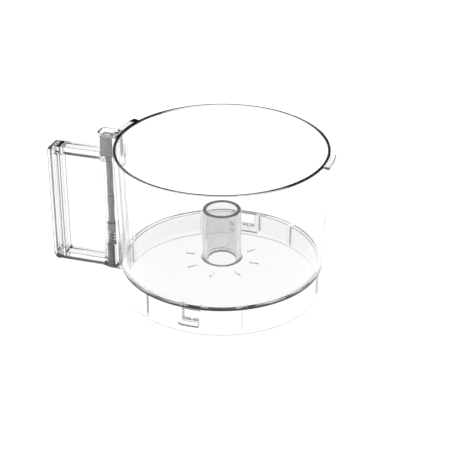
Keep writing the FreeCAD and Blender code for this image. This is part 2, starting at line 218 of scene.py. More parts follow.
# Levels that follow
HEAD_FLOOR = RIM_LEVEL - HEAD_HEIGHT
ROD_HEAD_BOTTOM = ROD_TOP - ROD_HEAD_HEIGHT
POCKET_FLOOR = ROD_HEAD_BOTTOM - ROD_STROKE - STROKE_CLEARANCE
POCKET_HALF_LENGTH = (ROD_HIGH[0] - ROD_LOW[0]) / 2 + HEAD_CLEARANCE
POCKET_HALF_WIDTH = (ROD_HIGH[1] - ROD_LOW[1]) / 2 + HEAD_CLEARANCE
PLUG_TOP = PLUG_HIGH[2]
PLUG_SHOULDER = PLUG_TOP - PLUG_GUIDE_LENGTH
TOP_BAR_TOP = RIM_LEVEL - TOP_BAR_DROP
TOP_BAR_BOTTOM = TOP_BAR_TOP - TOP_BAR_HEIGHT
FOOT_BAR_BOTTOM = FOOT_LEVEL + FOOT_BAR_LIFT
FOOT_BAR_TOP = FOOT_BAR_BOTTOM + FOOT_BAR_HEIGHT
OVERCUT = mm(3.0)


def length_setting(name, description, default):
    return bpy.props.FloatProperty(
        name=name, description=description, default=default, unit="LENGTH")


def count_setting(name, description, default):
    return bpy.props.IntProperty(name=name, description=description, default=default, min=1)


def colour_setting(name, description, default):
    return bpy.props.StringProperty(name=name, description=description, default=default)


class BowlSizes(bpy.types.PropertyGroup):
    rim_diameter: length_setting("Rim diameter", "Across the outside of the rim", mm(200.0))
    base_diameter: length_setting("Base diameter", "Across the outside of the skirt", mm(193.0))
    wall: length_setting("Wall", "Thickness of the bowl's wall", mm(2.8))
    bore_radius: length_setting("Bore radius", "Inside of the drive tube", mm(14.4))
    tube_radius: length_setting("Tube radius", "Outside of the drive tube at its top", mm(18.1))
    tube_height: length_setting(
        "Tube height", "From the bowl's floor to the top of the drive tube", mm(51.6))
    handle_width: length_setting("Handle width", "Across the handle", mm(14.0))
    grip_depth: length_setting("Grip depth", "From the front to the back of the grip", mm(13.0))
    floor_ribs: count_setting("Floor ribs", "Short ribs under the floor", 8)
    skirt_ribs: count_setting("Skirt ribs", "Upright ribs inside the skirt", 6)
    hooks: count_setting("Hooks", "Bayonet hooks of the skirt", 2)


class SpringSizes(bpy.types.PropertyGroup):
    wire: length_setting("Wire", "Diameter of the spring's wire", mm(1.1))
    turns: bpy.props.FloatProperty(
        name="Turns", description="Turns of the wire, end coils included", default=4.1)
    pressed_share: bpy.props.FloatProperty(
        name="Pressed length", description="Length of the pressed spring over its free length",
        default=0.655, subtype="FACTOR")


class Finishes(bpy.types.PropertyGroup):
    polycarbonate: colour_setting("Polycarbonate", "Tint of the clear plastic, sRGB", "FEFEFE")
    # Edges: the near black of the painted shade that is put by position on the clear plastic's
    # edges
    edges: colour_setting("Edges", "Dark tint of the plastic's edges, sRGB", "0C0C0D")
    acetal: colour_setting("Acetal", "Grey of the push rod, sRGB", "898989")
    nylon: colour_setting("Nylon", "Dark grey of the plug, sRGB", "2B2D30")
    steel: colour_setting("Steel", "Spring wire, darker than drawn steel, sRGB", "3E4043")
    floor: colour_setting("Floor", "Painted floor of the studio, sRGB", "F6F6F6")


class StudioSettings(bpy.types.PropertyGroup):
    lens: bpy.props.FloatProperty(
        name="Lens", description="Focal length on a 36 mm sensor", default=103.44)
    camera_place: bpy.props.FloatVectorProperty(
        name="Camera", description="Where the camera stands",
        default=(mm(326.8), mm(-1026.4), mm(620.3)), subtype="XYZ", unit="LENGTH")
    camera_aim: bpy.props.FloatVectorProperty(
        name="Aim", description="Where the camera looks",
        default=(mm(2.83), mm(0.89), mm(36.35)), subtype="XYZ", unit="LENGTH")
    floor_size: length_setting("Floor", "Side of the floor", 6.0)


# Shapes

def rounded(corners, facet=math.radians(12)):
    """Points of a closed outline, each corner (u, v, radius) rounded to its radius."""
    points = []
    for index, (u, v, radius) in enumerate(corners):
        corner = Vector((u, v))
        if radius == 0:
            points.append(corner)
            continue
        before = (Vector(corners[index - 1][:2]) - corner).normalized()
        after = (Vector(corners[(index + 1) % len(corners)][:2]) - corner).normalized()
        half = before.angle(after) / 2
        centre = corner + (before + after).normalized() * radius / math.sin(half)
        spoke = corner + before * radius / math.tan(half) - centre
        last = corner + after * radius / math.tan(half) - centre
        sweep = -spoke.angle_signed(last)
        steps = max(2, math.ceil(abs(sweep) / facet))
        for step in range(steps + 1):
            points.append(centre + Matrix.Rotation(sweep * step / steps, 2) @ spoke)
    return points


def rectangle(start, end, low, high, first_radius=0, last_radius=None):
    """A rectangle's outline, with a radius for the corners at its start and at its end."""
    if last_radius is None:
        last_radius = first_radius
    return rounded([
        (start, low, first_radius), (end, low, last_radius),
        (end, high, last_radius), (start, high, first_radius)])


def on_side(reach, level, across):
    """A point of the handle's side view."""
    return Vector((-reach, across, level))


def in_plan(reach, across, level):
    """A point of a level plan on the handle's side."""
    return Vector((-reach, across, level))


def from_the_handle(across, level, reach):
    """A point as it is seen along the handle, towards the bowl's axis."""
    return Vector((-reach, across, level))


def in_space(x, y, z):
    return Vector((x, y, z))


def turned_about_axis(point, angle):
    return Matrix.Rotation(angle, 3, "Z") @ point


def facing(angle):
    """Places the points of an outline that faces away from the axis at an angle."""
    def place(across, level, radius):
        return turned_about_axis(Vector((radius, across, level)), angle)

    return place


def skin(name, rings, closed=False):
    """An object whose faces run between rings of points, capped unless the rings close up."""
    shape = bmesh.new()
    rows = [[shape.verts.new(point) for point in ring] for ring in rings]
    pairs = list(zip(rows, rows[1:]))
    if closed:
        pairs.append((rows[-1], rows[0]))
    else:
        shape.faces.new(rows[0])
        shape.faces.new(rows[-1])
    for lower, upper in pairs:
        for index in range(len(lower)):
            shape.faces.new((lower[index - 1], lower[index], upper[index], upper[index - 1]))
    bmesh.ops.recalc_face_normals(shape, faces=shape.faces)
    mesh = bpy.data.meshes.new(name)
    shape.to_mesh(mesh)
    shape.free()
    body = bpy.data.objects.new(name, mesh)
    bpy.context.scene.collection.objects.link(body)
    return body


def extruded(name, points, place, first, last):
    """A straight body: an outline's points placed at a first and a last distance."""
    return skin(name, [[place(u, v, w) for u, v in points] for w in (first, last)])


def lathed(name, points, facets):
    """A ring-shaped body turned from a closed section of (radius, level) points."""
    section = [Vector((radius, 0, level)) for radius, level in points]
    angles = [2 * math.pi * index / facets for index in range(facets)]
    rings = [[turned_about_axis(point, angle) for point in section] for angle in angles]
    return skin(name, rings, closed=True)


def round_body(name, stations, facets, centre=(0, 0)):
    """A solid round body through stations (radius, level), with flat ends."""
    angles = [2 * math.pi * index / facets for index in range(facets)]
    return skin(name, [
        [Vector((*centre, level)) + Vector((*polar(radius, angle), 0)) for angle in angles]
        for radius, level in stations])


def polar(radius, angle):
    return radius * math.cos(angle), radius * math.sin(angle)


def arc(radius, start, end, steps):
    return [polar(radius, start + (end - start) * step / steps) for step in range(steps + 1)]


def ring_piece(name, inner, outer, start, end, bottom, top, corner=0):
    """A piece of a flat ring between two angles, its outer corners rounded."""
    steps = max(2, math.ceil((end - start) / math.radians(1)))
    inset = corner / outer
    outside = arc(outer, start + inset, end - inset, steps)
    if corner:
        bend = corner * (1 - math.cos(math.pi / 4))
        turn = bend / outer
        outside = [
            polar(outer - corner, start), polar(outer - bend, start + turn), *outside,
            polar(outer - bend, end - turn), polar(outer - corner, end)]
    return extruded(name, outside + arc(inner, end, start, steps), in_space, bottom, top)


def settle(body):
    """Replaces a body's mesh by what its modifiers make of it, and drops the modifiers."""
    evaluated = body.evaluated_get(bpy.context.evaluated_depsgraph_get())
    mesh = bpy.data.meshes.new_from_object(evaluated)
    first = body.data
    body.modifiers.clear()
    body.data = mesh
    bpy.data.meshes.remove(first)
    mesh.name = body.name


def combine(body, others, operation):
    """Joins other bodies to a body, or cuts them out of it, and uses them up."""
    tools = bpy.data.collections.new("tools")
    for other in others:
        tools.objects.link(other)
    modifier = body.modifiers.new(operation, "BOOLEAN")
    modifier.operation = operation
    modifier.operand_type = "COLLECTION"
    modifier.collection = tools
    modifier.solver = "EXACT"
    settle(body)
    for other in others:
        mesh = other.data
        bpy.data.objects.remove(other)
        bpy.data.meshes.remove(mesh)
    bpy.data.collections.remove(tools)


def soften(body, width, segments=3, angle=math.radians(35)):
    """Rounds the edges that are sharper than an angle, as a mould's polished edges are."""
    modifier = body.modifiers.new("edges", "BEVEL")
    modifier.width = width
    modifier.segments = segments
    modifier.limit_method = "ANGLE"
    modifier.angle_limit = angle
    settle(body)


def finish_surface(body, material, angle=math.radians(35)):
    """Gives a body its material, and normals that are smooth up to an angle and true on the
    large faces, so that a clear wall doesn't bend what is behind it."""
    body.data.materials.clear()
    body.data.materials.append(material)
    body.data.polygons.foreach_set("material_index", [0] * len(body.data.polygons))
    body.data.shade_smooth()
    body.data.set_sharp_from_angle(angle=angle)
    modifier = body.modifiers.new("normals", "WEIGHTED_NORMAL")
    modifier.mode = "FACE_AREA"
    modifier.weight = 100
    modifier.keep_sharp = True
    settle(body)


def give_out(tree, geometry):
    """Ends a geometry tree with real faces, passed through a Set Material node that is given no
    material.
    """
    real = add_node(tree, "GeometryNodeRealizeInstances", {"Geometry": geometry})
    painted = add_node(tree, "GeometryNodeSetMaterial", {"Geometry": real.outputs[0]})
    add_node(tree, "NodeGroupOutput", {"Geometry": painted.outputs[0]})


def in_a_ring(body, count):
    """Repeats a body evenly about the bowl's axis with Geometry Nodes."""
    tree = bpy.data.node_groups.new("ring of copies", "GeometryNodeTree")
    tree.interface.new_socket("Geometry", in_out="INPUT", socket_type="NodeSocketGeometry")
    counter = tree.interface.new_socket("Count", in_out="INPUT", socket_type="NodeSocketInt")
    tree.interface.new_socket("Geometry", in_out="OUTPUT", socket_type="NodeSocketGeometry")
    given = add_node(tree, "NodeGroupInput")
    points = add_node(tree, "GeometryNodePoints", {"Count": given.outputs["Count"]})
    index = add_node(tree, "GeometryNodeInputIndex")
    share = calculated(tree, "DIVIDE", index.outputs[0], given.outputs["Count"])
    angle = calculated(tree, "MULTIPLY", share, 2 * math.pi)
    turn = add_node(tree, "ShaderNodeCombineXYZ", {"Z": angle})
    copies = add_node(tree, "GeometryNodeInstanceOnPoints", {
        "Points": points.outputs[0],
        "Instance": given.outputs["Geometry"],
        "Rotation": turn.outputs[0],
    })
    give_out(tree, copies.outputs[0])
    modifier = body.modifiers.new("ring", "NODES")
    modifier.node_group = tree
    modifier[counter.identifier] = count
    settle(body)
    bpy.data.node_groups.remove(tree)


# Materials

def add_node(tree, kind, inputs=None, **settings):
    """Adds a node with its settings; an input is a value, or an output to link from."""
    node = tree.nodes.new(kind)
    for name, value in settings.items():
        setattr(node, name, value)
    for name, value in (inputs or {}).items():
        if isinstance(value, bpy.types.NodeSocket):
            tree.links.new(value, node.inputs[name])
        else:
            node.inputs[name].default_value = value
    return node


def srgb(code):
    """Linear colour of an sRGB hex code."""
    channels = [int(code[index:index + 2], 16) / 255 for index in (0, 2, 4)]
    linear = [c / 12.92 if c <= 0.04045 else ((c + 0.055) / 1.055) ** 2.4 for c in channels]
    return (*linear, 1.0)


def new_material(name):
    """A material, its empty tree, and the object's coordinates in that tree."""
    material = bpy.data.materials.new(name)
    material.use_nodes = True
    tree = material.node_tree
    tree.nodes.clear()
    return material, tree, add_node(tree, "ShaderNodeTexCoord").outputs["Object"]


def calculated(tree, operation, *values):
    """Output of a maths node."""
    return add_node(tree, "ShaderNodeMath", dict(enumerate(values)), operation=operation).outputs[0]


def ranged(tree, value, given, wanted=(0.0, 1.0)):
    """A value carried over from a given range to a wanted one."""
    return add_node(tree, "ShaderNodeMapRange", {
        "Value": value, "From Min": given[0], "From Max": given[1],
        "To Min": wanted[0], "To Max": wanted[1]}).outputs["Result"]


def band(tree, value, low, high, blend=EDGE_BLEND):
    """A mask that is 1 between two measures and fades out beyond them."""
    rise = ranged(tree, value, (low - blend, low))
    fall = ranged(tree, value, (high, high + blend), (1.0, 0.0))
    return calculated(tree, "MULTIPLY", rise, fall)


def noise(tree, place, scale, detail):
    return add_node(tree, "ShaderNodeTexNoise", {
        "Vector": place, "Scale": scale, "Detail": detail}).outputs["Fac"]


def mixed_colour(tree, share, first, second):
    return add_node(tree, "ShaderNodeMix", {
        "Factor": share, "A": first, "B": second}, data_type="RGBA").outputs["Result"]


def mixed_shader(tree, share, first, second):
    return add_node(tree, "ShaderNodeMixShader", {
        "Fac": share, 1: first, 2: second}).outputs[0]


def painted_edge_shade_zones(sizes):
    """Where the plastic is tinted dark, set against the photograph: the depth of the
    tint, and the measures that bound it. It stands in for the dark that real edges refract."""
    # Every zone below is painted shade: a dark tint by position in place of the dark that the clear
    # edges take from refraction and reflection.
    rim = sizes.rim_diameter / 2
    base = sizes.base_diameter / 2
    tube_top = FLOOR_THICKNESS + sizes.tube_height
    half = sizes.handle_width / 2
    inner = HANDLE_REACH - sizes.grip_depth
    inside = base - SKIRT_WALL
    bore = sizes.bore_radius
    tube = sizes.tube_radius
    beyond_lug = rim + LUG_REACH
    lug_bottom = RIM_LEVEL - LUG_THICKNESS
    slot_start = rim + SLOT_WALL
    corner = (HANDLE_REACH - HANDLE_CORNER, HANDLE_REACH)
    across = (0, half)
    flank = (half - GRIP_LINE, half + LINE)
    handle = (ROD_REACH - COLUMN_SHOULDER, HANDLE_REACH + LINE)
    grip_levels = (FOOT_BAR_BOTTOM, TOP_BAR_TOP)
    zones = [
        # Painted shade on the rim, deepest toward its ends along X.
        (1.0, {"reach": (rim - sizes.wall - LINE, rim), "along": (RIM_END_SHARE * rim, rim),
               "level": (RIM_LEVEL - mm(1.6), RIM_LEVEL)}),
        (0.4, {"reach": (rim - sizes.wall, rim), "level": (RIM_LEVEL - RIM_ROUND, RIM_LEVEL)}),
        (1.0, {"reach": (bore - LINE, tube), "level": (tube_top - TUBE_ROUND, tube_top)}),
        (0.2, {"reach": (bore - LINE, tube + TUBE_DRAFT), "level": (0, tube_top)}),
        (0.7, {"reach": (bore - LINE, bore + LINE), "level": (-LINE, mm(1))}),
        (0.5, {"reach": (tube, tube + mm(1.5)),
               "level": (FLOOR_THICKNESS + mm(0.6), FLOOR_THICKNESS + mm(1.2))}),
        (1.0, {"reach": (base - mm(1), rim), "level": (mm(0.9), FLOOR_THICKNESS - mm(0.2))}),
        (0.5, {"reach": (FLOOR_RIB_START - LINE, FLOOR_RIB_START + FLOOR_RIB_LENGTH + LINE),
               "level": (-mm(0.95), -UNDER_FLOOR)}),
        (0.9, {"reach": (inside - SKIRT_RIB_DEPTH + mm(0.4), inside - mm(0.2)),
               "level": (FOOT_LEVEL + SKIRT_RIB_GAP + SKIRT_RIB_TAPER + LINE, -UNDER_FLOOR)}),
        (0.25, {"reach": (inside - HOOK_DEPTH - LINE, inside - mm(0.2)),
                "level": (FOOT_LEVEL, -UNDER_FLOOR)}),
        (0.35, {"left": (ROD_REACH + COLUMN_SHOULDER, ROD_REACH + COLUMN_FOOT_RADIUS + LINE),
                "side": (0, mm(3)), "level": (FOOT_BAR_TOP, TOP_BAR_BOTTOM)}),
        (1.0, {"left": (slot_start, slot_start + SLOT_RIB_LENGTH),
               "side": (0, SLOT_RIB_WIDTH / 2), "level": (RIM_LEVEL - mm(1), RIM_LEVEL)}),
        (0.25, {"reach": (inside, base), "level": (FOOT_LEVEL, FOOT_LEVEL + LINE)}),
        (0.9, {"reach": (beyond_lug - mm(1), beyond_lug), "right": (mm(90), beyond_lug),
               "level": (lug_bottom, RIM_LEVEL - mm(2))}),
        (1.0, {"reach": (rim, beyond_lug), "back": (mm(28), mm(36)),
               "level": (lug_bottom, RIM_LEVEL)}),
        (1.0, {"left": corner, "side": across, "level": (TOP_BAR_TOP - mm(4), TOP_BAR_TOP)}),
        (1.0, {"left": (inner - LINE, inner + INNER_FLANGE), "side": across,
               "level": (TOP_BAR_TOP - LINE, TOP_BAR_TOP)}),
        (0.8, {"left": corner, "side": across,
               "level": (FOOT_BAR_BOTTOM, FOOT_BAR_BOTTOM + mm(3))}),
        (0.45, {"left": (HANDLE_REACH - LINE, HANDLE_REACH), "side": across,
                "level": grip_levels}),
        (0.2, {"left": (inner - LINE, inner + LINE), "side": across, "level": grip_levels}),
    ]
    for level in (TOP_BAR_TOP, TOP_BAR_BOTTOM, FOOT_BAR_TOP, FOOT_BAR_BOTTOM):
        zones.append((0.5, {
            "left": handle, "side": flank, "level": (level - LINE, level + LINE)}))
    for reach in (HANDLE_REACH, HANDLE_REACH - OUTER_FLANGE, inner + INNER_FLANGE, inner):
        zones.append((0.8, {
            "left": (reach - GRIP_LINE, reach + GRIP_LINE), "side": flank,
            "level": grip_levels}))
    return zones


def clear_polycarbonate(tint, painted_edge_shade, sizes):
    """Clear polycarbonate, injection moulded in a polished mould: the faces stay clear, with a
    slow wave from the melt's flow and fine scuffs. Its edges are painted dark by position,
    because refraction alone leaves them paler than in the photograph."""
    material, tree, place = new_material("clear moulded polycarbonate")
    axes = add_node(tree, "ShaderNodeSeparateXYZ", {"Vector": place})
    flat = add_node(tree, "ShaderNodeVectorMath", {
        0: place, 1: (1.0, 1.0, 0.0)}, operation="MULTIPLY")
    reach = add_node(tree, "ShaderNodeVectorMath", {0: flat.outputs[0]}, operation="LENGTH")
    measures = {
        "reach": reach.outputs["Value"],
        "level": axes.outputs["Z"],
        "right": axes.outputs["X"],
        "left": calculated(tree, "MULTIPLY", axes.outputs["X"], -1.0),
        "along": calculated(tree, "ABSOLUTE", axes.outputs["X"]),
        "back": axes.outputs["Y"],
        "side": calculated(tree, "ABSOLUTE", axes.outputs["Y"]),
    }
    # share: the depth of painted shade at each point, the greatest of all zones.
    share = 0.0
    for depth, bounds in painted_edge_shade_zones(sizes):
        zone = depth
        for name, (low, high) in bounds.items():
            blend = RIM_END_BLEND if name == "along" else EDGE_BLEND
            zone = calculated(tree, "MULTIPLY", zone, band(tree, measures[name], low, high, blend))
        share = calculated(tree, "MAXIMUM", share, zone)
    flow = noise(tree, place, 1 / mm(30), 1.0)
    scuffs = noise(tree, place, 1 / mm(1.5), 4.0)
    wave = add_node(tree, "ShaderNodeBump", {
        "Strength": 0.06, "Distance": mm(1.0), "Height": flow})
    # The base colour goes from the tint toward the painted edge shade by share.
    plastic = add_node(tree, "ShaderNodeBsdfPrincipled", {
        "Base Color": mixed_colour(tree, share, srgb(tint), srgb(painted_edge_shade)),
        "IOR": 1.585,
        "Transmission Weight": 1.0,
        "Roughness": ranged(tree, scuffs, (0.45, 0.8), (0.015, 0.07)),
        "Normal": wave.outputs["Normal"]})
    through = add_node(tree, "ShaderNodeBsdfTransparent", {"Color": (0.97, 0.97, 0.97, 1.0)})
    path = add_node(tree, "ShaderNodeLightPath")
    depth = add_node(tree, "ShaderNodeVolumeAbsorption", {
        "Color": srgb("8C8E8F"), "Density": 2.5})
    add_node(tree, "ShaderNodeOutputMaterial", {
        "Surface": mixed_shader(
            tree, path.outputs["Is Shadow Ray"], plastic.outputs[0], through.outputs[0]),
        "Volume": depth.outputs[0]})
    return material


def moulded_plastic(name, colour, roughness, grain, depth, steps=()):
    """Opaque engineering plastic with the fine spark-eroded grain of its mould, streaked along
    the draw of the mould. Dark lines of painted shade are put at the steps, where the photograph
    has them."""
    material, tree, place = new_material(name)
    texture = noise(tree, place, 1 / grain, 3.0)
    drawn = add_node(tree, "ShaderNodeMapping", {"Vector": place, "Scale": (1.0, 1.0, 0.12)})
    cloud = noise(tree, drawn.outputs[0], 1 / mm(1.6), 2.0)
    red, green, blue, alpha = srgb(colour)
    darker, paler = [
        (red * gain, green * gain, blue * gain, alpha) for gain in (0.7, 1.35)]
    shade = mixed_colour(tree, ranged(tree, cloud, (0.35, 0.65)), darker, paler)
    level = add_node(tree, "ShaderNodeSeparateXYZ", {"Vector": place}).outputs["Z"]
    # Painted shade: a dark line a little to either side of each step level.
    lines = 0.0
    for step in steps:
        line = band(tree, level, step - STEP_SHADE_HALF_WIDTH, step + STEP_SHADE_HALF_WIDTH)
        lines = calculated(tree, "MAXIMUM", lines, line)
    bump = add_node(tree, "ShaderNodeBump", {
        "Strength": 0.5, "Distance": depth, "Height": texture})
    plastic = add_node(tree, "ShaderNodeBsdfPrincipled", {
        # The base colour turns near black on the painted shade lines at the steps.
        "Base Color": mixed_colour(tree, lines, shade, srgb("1E1F20")),
        "Roughness": ranged(tree, cloud, (0.0, 1.0), (roughness - 0.06, roughness + 0.08)),
        "IOR": 1.48,
        "Normal": bump.outputs["Normal"]})
    add_node(tree, "ShaderNodeOutputMaterial", {"Surface": plastic.outputs[0]})
    return material


def drawn_spring_steel(colour):
    """Spring steel wire with the hair lines of its die. Its colour is darker than drawn steel,
    because bright wire is lost against the white of the studio."""
    material, tree, place = new_material("drawn spring steel")
    stretched = add_node(tree, "ShaderNodeMapping", {
        "Vector": place, "Scale": (300.0, 300.0, 4000.0)})
    lines = noise(tree, stretched.outputs[0], 1.0, 2.0)
    steel = add_node(tree, "ShaderNodeBsdfPrincipled", {
        "Base Color": srgb(colour), "Metallic": 1.0,
        "Roughness": ranged(tree, lines, (0.0, 1.0), (0.18, 0.38))})
    add_node(tree, "ShaderNodeOutputMaterial", {"Surface": steel.outputs[0]})
    return material


# Pieces of the bowl's moulding

def outer_radius_at(sizes, level):
    """Outer radius of the wall: upright along the skirt, then opening to the rim."""
    base = sizes.base_diameter / 2
    return base + max(0, level) / RIM_LEVEL * (sizes.rim_diameter / 2 - base)


def make_shell(sizes):
    """Wall, floor, skirt and drive tube in one turned section."""
    base = sizes.base_diameter / 2
    rim = sizes.rim_diameter / 2
    tube_top = FLOOR_THICKNESS + sizes.tube_height
    section = rounded([
        (sizes.bore_radius, 0, 0),
        (base - SKIRT_WALL, 0, 0),
        (base - SKIRT_WALL, FOOT_LEVEL, FOOT_ROUND),
        (base, FOOT_LEVEL, FOOT_ROUND),
        (base, 0, 0),
        (rim, RIM_LEVEL, RIM_ROUND),
        (rim - sizes.wall, RIM_LEVEL, RIM_ROUND),
        (outer_radius_at(sizes, FLOOR_THICKNESS) - sizes.wall, FLOOR_THICKNESS, FLOOR_ROUND),
        (sizes.tube_radius + TUBE_DRAFT, FLOOR_THICKNESS, TUBE_FOOT_ROUND),
        (sizes.tube_radius, tube_top, TUBE_ROUND),
        (sizes.bore_radius, tube_top, TUBE_ROUND),
    ])
    return lathed("shell", section, BOWL_FACETS)


def make_wall_core(sizes):
    """The bowl's space up to the middle of its wall, which trims what is added outside."""
    middle = sizes.wall / 2
    base = sizes.base_diameter / 2 - middle
    rim = sizes.rim_diameter / 2 - middle
    return round_body("core", [
        (base, FOOT_LEVEL - OVERCUT), (base, 0), (rim, RIM_LEVEL), (rim, RIM_LEVEL + OVERCUT),
    ], BOWL_FACETS)


def make_ribs(sizes):
    half = FLOOR_RIB_WIDTH / 2
    end = FLOOR_RIB_START + FLOOR_RIB_LENGTH
    ending = half * 0.95
    bar = rectangle(FLOOR_RIB_START, end, -half, half, ending)
    floor_rib = extruded("floor_ribs", bar, in_plan, -FLOOR_RIB_HEIGHT, FLOOR_THICKNESS / 2)
    in_a_ring(floor_rib, sizes.floor_ribs)
    inside = sizes.base_diameter / 2 - SKIRT_WALL
    crest = inside - SKIRT_RIB_DEPTH
    root = inside + SKIRT_WALL / 2
    bottom = FOOT_LEVEL + SKIRT_RIB_GAP
    side = [
        (-crest, FLOOR_THICKNESS / 2), (-root, FLOOR_THICKNESS / 2), (-root, bottom),
        (-inside, bottom), (-crest, bottom + SKIRT_RIB_TAPER),
    ]
    half = SKIRT_RIB_WIDTH / 2
    skirt_rib = extruded("skirt_ribs", side, on_side, -half, half)
    in_a_ring(skirt_rib, sizes.skirt_ribs)
    return [floor_rib, skirt_rib]


def make_hooks(sizes):
    """L-shaped hooks inside the skirt: a stop and a ledge that the base's lug runs over."""
    inside = sizes.base_diameter / 2 - SKIRT_WALL
    inner = inside - HOOK_DEPTH
    outer = inside + SKIRT_WALL / 2
    leg = HOOK_LEG_WIDTH / inside
    foot = HOOK_FOOT_LENGTH / inside
    ledge_top = -WINDOW_HEIGHT
    ledge_bottom = ledge_top - HOOK_FOOT_HEIGHT
    start = HOOK_ANGLE - leg
    stop = ring_piece("hooks", inner, outer, start, HOOK_ANGLE, ledge_bottom, FLOOR_THICKNESS / 2)
    ledge = ring_piece("ledge", inner, outer, start, HOOK_ANGLE + foot, ledge_bottom, ledge_top)
    combine(stop, [ledge], "UNION")
    elbow = [(-HOOK_ROUND, ledge_bottom - HOOK_ROUND), (HOOK_ROUND, ledge_bottom - HOOK_ROUND)]
    for degrees in range(0, 91, 15):
        angle = math.radians(degrees)
        across = HOOK_ROUND * (1 - math.sin(angle))
        elbow.append((across, ledge_bottom + HOOK_ROUND * (1 - math.cos(angle))))
    elbow.append((-HOOK_ROUND, ledge_bottom + HOOK_ROUND))
    turns = [2 * math.pi * index / NOTCH_FACETS for index in range(NOTCH_FACETS)]
    notch = [Vector(polar(HOOK_NOTCH, turn)) + Vector((0, ledge_top)) for turn in turns]
    combine(stop, [
        extruded("elbow", elbow, facing(start), inner - OVERCUT, outer + OVERCUT),
        extruded(
            "notch", notch, facing(HOOK_ANGLE + foot / 2),
            inner - HOOK_DEPTH / 2, inside + SKIRT_WALL / 4),
    ], "DIFFERENCE")
    in_a_ring(stop, sizes.hooks)
    return stop


def make_windows(sizes):
    """The openings over the hooks' ledges, cut straight out through the skirt."""
    inside = sizes.base_diameter / 2 - SKIRT_WALL
    half = WINDOW_WIDTH / 2
    outline = rectangle(-half, half, -WINDOW_HEIGHT, -WINDOW_TOP_GAP, 0, WINDOW_ROUND)
    window = extruded(
        "windows", outline, facing(HOOK_ANGLE + half / inside),
        inside - SKIRT_WALL / 2, inside + 2 * SKIRT_WALL)
    in_a_ring(window, sizes.hooks)
    return window


def make_lugs(sizes):
    root = (sizes.rim_diameter - sizes.wall) / 2
    reach = sizes.rim_diameter / 2 + LUG_REACH
    bottom = RIM_LEVEL - LUG_THICKNESS
    lugs = []
    for name, (start, end) in {"front_lug": FRONT_LUG, "rear_lug": REAR_LUG}.items():
        lug = ring_piece(name, root, reach, start, end, bottom, RIM_LEVEL, LUG_ROUND)
        soften(lug, MOULDED_EDGE / 2, segments=2)
        lugs.append(lug)
    return lugs


def keyhole(sizes, level, half_width):
    """Plan of the column: flared at the wall, parallel, and round about the push rod."""
    root = outer_radius_at(sizes, level)
    back = root - 4 * COLUMN_FLARE
    flare = [
        (back, half_width + COLUMN_FLARE), (root, half_width + COLUMN_FLARE),
        (root + COLUMN_FLARE, half_width)]
    points = flare[:]
    for step in range(KEYHOLE_STEPS + 1):
        angle = math.pi * (0.5 - step / KEYHOLE_STEPS)
        points.append((ROD_REACH + half_width * math.cos(angle), half_width * math.sin(angle)))
    points += [(reach, -across) for reach, across in reversed(flare)]
    return [in_plan(reach, across, level) for reach, across in points]


def head_plan(sizes, inset):
    root = sizes.rim_diameter / 2
    back = root - 4 * HEAD_FLARE
    side = POCKET_HALF_WIDTH + HEAD_WALL - inset
    front = ROD_REACH + POCKET_HALF_LENGTH + HEAD_WALL - inset
    corner = HEAD_ROUND - inset
    half = [
        (back, -side - HEAD_FLARE, 0), (root, -side - HEAD_FLARE, 0),
        (root + HEAD_FLARE, -side, 0), (front, -side, corner)]
    return rounded(half + [(reach, -across, radius) for reach, across, radius in reversed(half)])


def make_column(sizes):
    """The drafted column, wider at the foot, and the larger head on top of it."""
    shaft = skin("column", [
        keyhole(sizes, FOOT_BAR_BOTTOM, COLUMN_FOOT_RADIUS),
        keyhole(sizes, HEAD_FLOOR, COLUMN_TOP_RADIUS),
    ])
    insets = {HEAD_FLOOR - HEAD_CHAMFER: HEAD_CHAMFER / 2, HEAD_FLOOR: 0, RIM_LEVEL: 0}
    head = skin("column_head", [
        [in_plan(*point, level) for point in head_plan(sizes, inset)]
        for level, inset in insets.items()])
    return [shaft, head]


def make_handle(sizes):
    """A D of plastic: two bars and an upright grip with a web between two flanges."""
    half = sizes.handle_width / 2
    inner_reach = HANDLE_REACH - sizes.grip_depth
    outline = rectangle(
        ROD_REACH, HANDLE_REACH, FOOT_BAR_BOTTOM, TOP_BAR_TOP, 0, HANDLE_CORNER)
    gap = rectangle(
        ROD_REACH - OVERCUT, inner_reach, FOOT_BAR_TOP, TOP_BAR_BOTTOM, 0, HANDLE_INNER_CORNER)
    pocket = rectangle(
        inner_reach + INNER_FLANGE, HANDLE_REACH - OUTER_FLANGE, FOOT_BAR_TOP, TOP_BAR_BOTTOM,
        HANDLE_INNER_CORNER)
    handle = extruded("handle", outline, on_side, -half, half)
    cuts = [
        extruded("gap", gap, on_side, -half - OVERCUT, half + OVERCUT),
        extruded("pocket", pocket, on_side, -half - OVERCUT, -GRIP_WEB / 2),
        extruded("pocket", pocket, on_side, GRIP_WEB / 2, half + OVERCUT),
    ]
    ends = {
        FOOT_BAR_BOTTOM: HANDLE_REACH - HANDLE_CORNER,
        TOP_BAR_BOTTOM: inner_reach - HANDLE_INNER_CORNER,
    }
    for bottom, end in ends.items():
        for side in (-half, half):
            inward = math.copysign(BAR_BEVEL_WIDTH, -side)
            corners = [(side, bottom), (side + inward, bottom), (side, bottom + BAR_BEVEL_HEIGHT)]
            cuts.append(extruded("bevel", corners, from_the_handle, ROD_REACH - OVERCUT, end))
    combine(handle, cuts, "DIFFERENCE")
    soften(handle, MOULDED_EDGE)
    return handle


